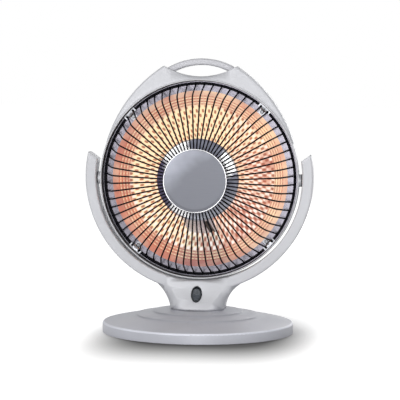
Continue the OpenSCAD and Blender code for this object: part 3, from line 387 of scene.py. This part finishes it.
zinc = bare_metal("zinc_plate", zinc_colour, 0.32, scale=900, streak=0.08)
rubber = dusty_black("foot_rubber")
dress("base_plate", sprayed_black("plate_enamel", plate_colour, 0.5))
dress("rubber_feet", rubber)
dress("cord_gland", rubber)
dress("ballast_ring", bare_metal("rough_iron", iron_colour, 0.6, scale=300, streak=0.3))
for node in ("base_screws", "neck_screws", "neck_clamp_plate"):
    dress(node, zinc)
dress("tilt_switch", sprayed_black("switch_case", case_colour, 0.55))

# Yoke. Two ABS mouldings, a deep front and a rear lid, screwed together from behind. Both are
# sprayed in the pale silver of the head, and the neck stands on the base's seat.
shell_silver = (0.595, 0.60, 0.63)
shell_edge = 0.0022
neck_edge = 0.003
shell_paint = silver_paint("shell_silver_paint", shell_silver, shell_edge)
neck_paint = silver_paint("neck_silver_paint", shell_silver, neck_edge)
smooth_copy("yoke_front", neck_paint, sharp_from=40)
smooth_copy("yoke_rear", shell_paint)
dress("yoke_screws", zinc)

# Rocker switch. A glossy dark oval edge snaps into the neck, and a rocker of the same moulded
# plastic tilts in it. The switch's cup sits behind them, out of sight.
bezel_colour = (0.012, 0.015, 0.021)
rocker_colour = (0.035, 0.043, 0.055)
cup_colour = (0.015, 0.016, 0.018)


def dark_gloss(name, colour, roughness):
    """Glossy dark plastic with faint moulding flow and a few dull patches."""
    finish, tree, shader, coords = new_finish(name, colour, roughness, gloss=0.35)
    flow = noise_on(tree, coords, scale=180, detail=3)
    tone = between(tree, flow, 0.85, 1.2)
    tree.links.new(shade_of(tree, colour, tone), shader.inputs["Base Color"])
    dulled = between(tree, flow, roughness * 0.8, roughness * 1.3)
    tree.links.new(dulled, shader.inputs["Roughness"])
    return finish


smooth_copy("switch_bezel", dark_gloss("bezel_gloss", bezel_colour, 0.22))
smooth_copy("switch_rocker", dark_gloss("rocker_gloss", rocker_colour, 0.28))
dress("switch_body", dark_gloss("switch_body_plastic", cup_colour, 0.45))

# Head shells. The hood with its rim and crest, and the rounded rear housing with its cooling slots,
# are two sprayed ABS mouldings. Screws from behind join them, and they tilt between the arms.
pivot = Vector((0, 0.004, 0.2225))
mouth_radius = 0.1420
mouth_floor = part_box("reflector")[0].y
shade_fade = 0.0004
shade_floor_fade = 0.0005
# Painted shade inside the mouth, as a share of the coat's tone.
mouth_shade_tone = 0.03


def mouth_painted_shade(tree, coords):
    """Painted shade: inside the mouth, in front of the dish, the coat is painted nearly black."""
    across, along, height = axes_of(tree, coords)
    up = math_node(tree, "SUBTRACT", height, pivot.z)
    radius = distance_of(tree, across, up)
    shade_outer_radius = mouth_radius + shade_fade
    outside = between(tree, radius, mouth_shade_tone, 1.0, start=mouth_radius, end=shade_outer_radius)
    behind = between(tree, along, 0.0, 1.0, start=mouth_floor, end=mouth_floor + shade_floor_fade)
    return math_node(tree, "MAXIMUM", outside, behind)


hood_paint = silver_paint("hood_silver_paint", shell_silver, shell_edge, toned=mouth_painted_shade)
smooth_copy("hood_shell", hood_paint)
smooth_copy("rear_housing", shell_paint)
dress("shell_screws", zinc)

# Handle. A solid arch moulded in ABS, its silver set a little darker than the shells'. Screws hold
# it to the crest.
handle_silver = (0.54, 0.54, 0.57)
smooth_copy("handle", silver_paint("handle_silver_paint", handle_silver))
dress("handle_screws", zinc)

# Tilt axles. Zinc-plated steel stubs turn in the arms' bushes. Fibre washers, wave springs and nuts
# hold the head at any tilt.
for node in ("axle_left", "axle_right", "axle_springs", "axle_nuts"):
    dress(node, zinc)
dress("friction_washers", dusty_black("washer_fibre"))

# Reflector. One spun sheet of bright aluminium: a flat flange outside, three fine rows of dots
# inside its edge, and rows of dimples towards the middle. Clip screws hold it to the housing. Its
# glow is painted: an emission pattern in the sheet stands for the element's light reflected in it.
low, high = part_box("reflector")
flange_radius = (high.x - low.x) / 2 - 0.0002
flange_front = low.y
sheet_thickness = 0.0008
dish_radius = 0.1275
dish_depth = 0.076
dimple_count = 68
dimple_pitch = 0.007
dimple_depth = 0.0011
dimple_rows = range(6, 16)
fine_pitch = 0.0039
fine_start = 0.1119
fine_rows = [fine_start + fine_pitch * row for row in range(3)]
snap = 0.0003  # how near to its row a vertex lies
turn_snap = 0.05  # how near to its place in the row, in dimples

# The sheet's rings from outside in: the flange, the dish's edge, one on and between the fine rows,
# and four to each row of dimples.
ring_radii = [flange_radius, 0.1340, dish_radius, 0.1255, 0.1235, 0.1216, 0.1197, 0.1178, 0.1158]
ring_radii += [0.1139, 0.1119, 0.1100, 0.1082, 0.1066]
ring_radii += [dimple_pitch / 4 * step for step in range(60, 3, -1)]


def sheet_y(radius):
    """Where the sheet's front lies at a radius."""
    curve = 1 - (radius / dish_radius) ** 2
    return flange_front + dish_depth * max(curve, 0)


bpy.ops.object.select_all(action="DESELECT")
bpy.ops.mesh.primitive_circle_add(vertices=4 * dimple_count, radius=flange_radius,
    fill_type="NOTHING", location=(pivot.x, flange_front, pivot.z),
    rotation=(math.radians(90), 0, 0))
dish = bpy.context.object
dish.name = "dish"
bpy.ops.object.transform_apply(location=True, rotation=True, scale=True)
bpy.ops.object.mode_set(mode="EDIT")
bpy.ops.mesh.select_all(action="SELECT")
for outer, inner in zip(ring_radii, ring_radii[1:]):
    drop = sheet_y(inner) - sheet_y(outer)
    bpy.ops.mesh.extrude_region_move(TRANSFORM_OT_translate={"value": (0, drop, 0)})
    shrink = inner / outer
    bpy.ops.transform.resize(value=(shrink, 1, shrink),
        center_override=(pivot.x, flange_front, pivot.z))
bpy.ops.mesh.edge_face_add()


def pick_vertices(piece, wanted):
    """Selects, in edit mode, the vertices whose place passes a test."""
    mesh = bmesh.from_edit_mesh(piece.data)
    for element in list(mesh.faces) + list(mesh.edges) + list(mesh.verts):
        element.select = False
    for vertex in mesh.verts:
        vertex.select = wanted(vertex.co)
    mesh.select_flush(False)
    bmesh.update_edit_mesh(piece.data)


def clock(place):
    """The radius of a place and its turn round the dish, in dimples."""
    across, up = place.x - pivot.x, place.z - pivot.z
    return math.hypot(across, up), math.atan2(across, up) / (2 * math.pi) * dimple_count


def is_dimple(place):
    """Every other row is shifted by half a dimple."""
    radius, turn = clock(place)
    row = round(radius / dimple_pitch)
    shifted = turn + (0.5 if row % 2 else 0.0)
    on_row = row in dimple_rows and abs(radius - row * dimple_pitch) < snap
    return on_row and abs(shifted - round(shifted)) < turn_snap


def is_fine_dot(place):
    """The fine rows have two dots to a dimple, each row shifted by half a dot."""
    radius, turn = clock(place)
    near = [row for row, fine in enumerate(fine_rows) if abs(radius - fine) < snap]
    if not near:
        return False
    shifted = 2 * turn + near[0] / 2
    return abs(shifted - round(shifted)) < turn_snap


bpy.ops.mesh.select_mode(type="VERT")
bpy.ops.mesh.select_all(action="SELECT")
bpy.ops.mesh.normals_make_consistent(inside=False)
pick_vertices(dish, is_dimple)
bpy.ops.transform.translate(value=(0, dimple_depth, 0))
pick_vertices(dish, is_fine_dot)
bpy.ops.transform.translate(value=(0, dimple_depth / 3, 0))
bpy.ops.object.mode_set(mode="OBJECT")
if sum(face.normal.y * face.area for face in dish.data.polygons) > 0:
    bpy.ops.object.mode_set(mode="EDIT")
    bpy.ops.mesh.select_all(action="SELECT")
    bpy.ops.mesh.flip_normals()
    bpy.ops.object.mode_set(mode="OBJECT")
wall = dish.modifiers.new("sheet", "SOLIDIFY")
wall.thickness = sheet_thickness
wall.offset = -1
bpy.ops.object.modifier_apply(modifier=wall.name)
bpy.ops.object.shade_smooth_by_angle(angle=math.radians(40))

salmon = (0.365, 0.14, 0.125)
peach = (0.63, 0.48, 0.37)
cream = (1.0, 0.89, 0.55)
painted_flash_white = (1.0, 0.95, 0.90)
ember = (0.33, 0.095, 0.07)
warm_sheet = (0.22, 0.17, 0.16)
shaded_sheet = (0.10, 0.06, 0.05)
glow_strength = 0.88
patchiness = 0.26
cream_fades = (0.1015, 0.1105)  # these pairs are radii between which a pattern starts or ends
dimples_end = (0.1058, 0.1070)
fine_band_starts = (0.1064, 0.1076)
fine_band_ends = (0.1203, 0.1212)


def centred(tree, coords):
    """Coordinates seen from the dish's middle: across, up, radius and turn."""
    mapping = tree.nodes.new("ShaderNodeMapping")
    mapping.inputs["Location"].default_value = (-pivot.x, -pivot.y, -pivot.z)
    tree.links.new(coords, mapping.inputs["Vector"])
    across, _, up = axes_of(tree, mapping.outputs[0])
    return across, up, distance_of(tree, across, up), math_node(tree, "ARCTAN2", across, up)


def waves(tree, value, length):
    """Even waves along a value, one to each length."""
    return math_node(tree, "COSINE", math_node(tree, "MULTIPLY", value, 2 * math.pi / length))


glow, tree, shader, coords = new_finish("dish_painted_glow", warm_sheet, 0.3, metallic=1.0)
across, up, radius, turn = centred(tree, coords)

# The glow is a painted reflection of the coil. Near the mouth it is painted darker at the left and
# below and brighter at the right; nearer the middle it is cream above and at the left, salmon
# below.
mouth = math_node(tree, "ADD", across, product(tree, up, 0.5))
mouth = between(tree, mouth, 0.05, 0.52, start=-0.06, end=0.06)
middle = math_node(tree, "SUBTRACT", product(tree, up, 0.6), across)
middle = between(tree, middle, 0.34, 1.08, start=-0.085, end=0.015)
inner = between(tree, radius, 1.0, 0.0, *cream_fades)
outer = math_node(tree, "SUBTRACT", 1.0, inner)
patches = between(tree, noise_on(tree, coords, scale=30, detail=3), -patchiness, patchiness)
warmth = math_node(tree, "ADD", product(tree, middle, inner), product(tree, mouth, outer))
warmth = math_node(tree, "ADD", warmth, patches)
painted_glow = blended(tree, salmon, peach, between(tree, warmth, 0.0, 1.0, start=0.0, end=0.5))
painted_glow = blended(tree, painted_glow, cream, between(tree, warmth, 0.0, 1.0, start=0.5, end=1.0))

# Inside the fine rows each dimple is painted as a dark spot, and below and at the right the ridges
# carry painted white highlights.
by_turn = waves(tree, turn, 2 * math.pi / dimple_count)
by_row = waves(tree, radius, 2 * dimple_pitch)
checks = product(tree, by_turn, by_row)
inside = between(tree, radius, 1.0, 0.0, *dimples_end)
spots = product(tree, between(tree, checks, 0.0, 0.85, start=0.12, end=0.6), inside)
painted_glow = blended(tree, painted_glow, ember, spots)
lower = between(tree, up, 1.0, 0.12, start=-0.04, end=0.04)
rightward = between(tree, across, 0.0, 0.9, start=0.005, end=0.07)
where = math_node(tree, "MAXIMUM", lower, rightward)
sparkle = between(tree, noise_on(tree, coords, scale=60), 0.15, 1.0, start=0.36, end=0.5)
ridges = between(tree, checks, 1.0, 0.0, start=-0.4, end=0.05)
painted_glow = blended(tree, painted_glow, painted_flash_white, product(tree, ridges, sparkle, where, inside))

# The fine rows are painted light between their dots, and the dots themselves are painted dark
# dashes.
fine_band = product(tree, between(tree, radius, 0.0, 1.0, *fine_band_starts),
    between(tree, radius, 1.0, 0.0, *fine_band_ends))
fine_turn = waves(tree, turn, math.pi / dimple_count)
fine_row = waves(tree, math_node(tree, "SUBTRACT", radius, fine_start), fine_pitch)
light_rows = between(tree, fine_row, 0.75, 0.0, start=-0.9, end=0.0)
gaps = between(tree, fine_turn, 0.35, 1.0, start=-0.4, end=0.5)
painted_glow = blended(tree, painted_glow, cream, product(tree, light_rows, gaps, fine_band, 0.8))
dashes = between(tree, fine_row, 0.0, 0.9, start=0.05, end=0.8)
breaks = between(tree, fine_turn, 0.55, 1.0, start=-0.3, end=0.4)
painted_glow = blended(tree, painted_glow, ember, product(tree, dashes, breaks, fine_band))
tree.links.new(painted_glow, shader.inputs["Emission Color"])
shader.inputs["Emission Strength"].default_value = glow_strength
# Painted shade: the sheet's own colour is darker in the dimple spots.
tree.links.new(blended(tree, warm_sheet, shaded_sheet, spots), shader.inputs["Base Color"])
buffed = between(tree, noise_on(tree, coords, scale=90, detail=3), 0.24, 0.4)
tree.links.new(buffed, shader.inputs["Roughness"])
dish.data.materials.append(glow)

# The flange and the sheet's back stay bare, with a spun grain.
bare_sheet = (0.22, 0.21, 0.245)
bright_sheet, tree, shader, coords = new_finish("bright_sheet", bare_sheet, 0.34, metallic=1.0)
spun = noise_on(tree, coords, scale=60, detail=4)
tone = between(tree, spun, 0.8, 1.2)
tree.links.new(shade_of(tree, bare_sheet, tone), shader.inputs["Base Color"])
tree.links.new(between(tree, spun, 0.20, 0.34), shader.inputs["Roughness"])
dish.data.materials.append(bright_sheet)
for face in dish.data.polygons:
    if clock(face.center)[0] > dish_radius or face.normal.y > 0:
        face.material_index = 1
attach(dish, "head")
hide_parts("reflector")

# Element. A resistance wire wound on a tapered ceramic core glows in the dish's focus. The core is
# held in a ceramic socket.
ceramic_white = (0.86, 0.83, 0.77)
coil_orange = (1.0, 0.24, 0.05)
coil_yellow = (1.0, 0.55, 0.20)
cold_wire = (0.35, 0.10, 0.04)
coil_strength = 2.2


def mottled(name, colour, roughness, scale, detail, darkest):
    """A matt piece whose tone varies a little."""
    finish, tree, shader, coords = new_finish(name, colour, roughness)
    tone = between(tree, noise_on(tree, coords, scale, detail), darkest, 1.05)
    tree.links.new(shade_of(tree, colour, tone), shader.inputs["Base Color"])
    return finish


ceramic = mottled("white_ceramic", ceramic_white, 0.45, scale=500, detail=4, darkest=0.93)
dress("ceramic_core", ceramic)
dress("element_socket", ceramic)
coil_glow, tree, shader, coords = new_finish("glowing_wire", cold_wire, 0.5)
heat = noise_on(tree, coords, scale=55)
tree.links.new(blended(tree, coil_orange, coil_yellow, heat), shader.inputs["Emission Color"])
shader.inputs["Emission Strength"].default_value = coil_strength
smooth_copy("heating_coil", coil_glow, sharp_from=70)

# Cap. A round pressed cap in front of the socket, with an arm that is screwed to the dish. Its
# colour is painted reflection: broad fans of painted highlight, bright at two sides and dark
# blue-grey between them, painted lighter below and darkest at the left.
cap_reflection_below = (0.72, 0.74, 0.84)
cap_reflection_above = (0.27, 0.28, 0.37)
cap_reflection_left = (0.09, 0.07, 0.16)
fan_highlight = (0.97, 0.97, 0.98)
fans_at = ((-0.64, 0.42), (1.07, 0.28), (-2.58, 0.16))  # turn and half width, in radians
fan_wander = 0.22
cap_metal, tree, shader, coords = new_finish("satin_cap_painted_reflections", cap_reflection_above, 0.3)
across, up, _, turn = centred(tree, coords)
wander = between(tree, noise_on(tree, coords, scale=40), -fan_wander, fan_wander)
turn = math_node(tree, "ADD", turn, wander)
rise = between(tree, up, 0.0, 1.0, start=-0.06, end=0.005)
sheen = blended(tree, cap_reflection_below, cap_reflection_above, rise)
leftward = product(tree, between(tree, across, 1.0, 0.0, start=-0.046, end=-0.03),
    between(tree, up, 0.0, 1.0, start=-0.05, end=-0.035))
sheen = blended(tree, sheen, cap_reflection_left, leftward)
# Painted highlights: the fans whiten the cap's colour at fixed turns round its middle.
fans = 0.0
for fan_turn, width in fans_at:
    fan = math_node(tree, "COSINE", math_node(tree, "SUBTRACT", turn, fan_turn))
    fan = between(tree, fan, 0.0, 1.0, start=math.cos(width * 1.2), end=math.cos(width * 0.85))
    fans = math_node(tree, "MAXIMUM", fans, fan)
tree.links.new(blended(tree, sheen, fan_highlight, fans), shader.inputs["Base Color"])
tree.links.new(between(tree, fans, 0.1, 0.85, start=0.0, end=1.0), shader.inputs["Metallic"])
buffed = between(tree, wander, 0.34, 0.2, start=-fan_wander, end=fan_wander)
tree.links.new(buffed, shader.inputs["Roughness"])
smooth_copy("socket_bracket", cap_metal)
for node in ("bracket_spacers", "bracket_screws"):
    dress(node, zinc)

# Wiring. The leads leave the socket in varnished glass-fibre sleeves, and an ivory moulded block on
# the inside of the housing's back joins them. The overheat cut-out, a small pressed-metal can, sits
# on the middle of the dish's back.
sleeve_black = (0.02, 0.02, 0.022)
block_ivory = (0.76, 0.72, 0.60)
can_colour = (0.55, 0.56, 0.58)
smooth_copy("lead_sleeves", sprayed_black("varnished_sleeve", sleeve_black, 0.55))
dress("terminal_block",
    mottled("block_plastic", block_ivory, 0.5, scale=120, detail=3, darkest=0.94))
dress("thermal_cutout", bare_metal("pressed_can", can_colour, 0.35, scale=400))

# Guard. Black enamelled steel wires are welded to an outer ring and a hub ring, and bend over the
# front. Four bright clips, screwed through the flange, hold the ring.
wire_black = (0.004, 0.004, 0.007)
clip_grey = (0.36, 0.365, 0.39)
screw_grey = (0.24, 0.245, 0.26)
smooth_copy("wire_guard", sprayed_black("wire_enamel", wire_black, 0.4, gloss=0.06), sharp_from=50)
clip_steel = bare_metal("clip_steel", clip_grey, 0.3, scale=500)
smooth_copy("guard_clips", clip_steel)
dress("clip_screws", bare_metal("dull_zinc", screw_grey, 0.4, scale=900))

# Centre disc. A satin pressed disc with a polished edge closes the guard's hub. A plate behind the
# hub ring clamps it.
disc_grey = (0.145, 0.15, 0.172)
trim_bright = (0.72, 0.72, 0.74)
rim_shade_starts = (0.0395, 0.0410)
rim_shade_ends = (0.0415, 0.0435)
brush_turn = 0.35
disc_metal, tree, shader, coords = new_finish("satin_disc", disc_grey, 0.42, metallic=0.7)
across, up, radius, _ = centred(tree, coords)
# Painted light: the disc's colour is painted up to about twice as bright towards the upper left,
# and a painted shade darkens the lower part of its rim.
cloud = between(tree, noise_on(tree, coords, scale=30), -0.012, 0.012)
upper_left_light = math_node(tree, "ADD", math_node(tree, "SUBTRACT", up, across), cloud)
brushed = noise_on(tree, coords, scale=70, detail=3, stretch=(1, 1, 22), turn=(0, brush_turn, 0))
lower_rim_shade = product(tree, between(tree, radius, 0.0, 1.0, *rim_shade_starts),
    between(tree, radius, 1.0, 0.0, *rim_shade_ends),
    between(tree, up, 0.3, 0.0, start=-0.035, end=-0.01))
tone = product(tree, between(tree, upper_left_light, 0.96, 2.1, start=0.015, end=0.07),
    between(tree, brushed, 0.96, 1.05), math_node(tree, "SUBTRACT", 1.0, lower_rim_shade))
tree.links.new(shade_of(tree, disc_grey, tone), shader.inputs["Base Color"])
tree.links.new(between(tree, brushed, 0.36, 0.5), shader.inputs["Roughness"])
smooth_copy("centre_disc", disc_metal)
polished = bare_metal("polished_edge", trim_bright, 0.16, scale=300, streak=0.04)
smooth_copy("disc_trim_ring", polished)
dress("disc_clamp_plate", clip_steel)
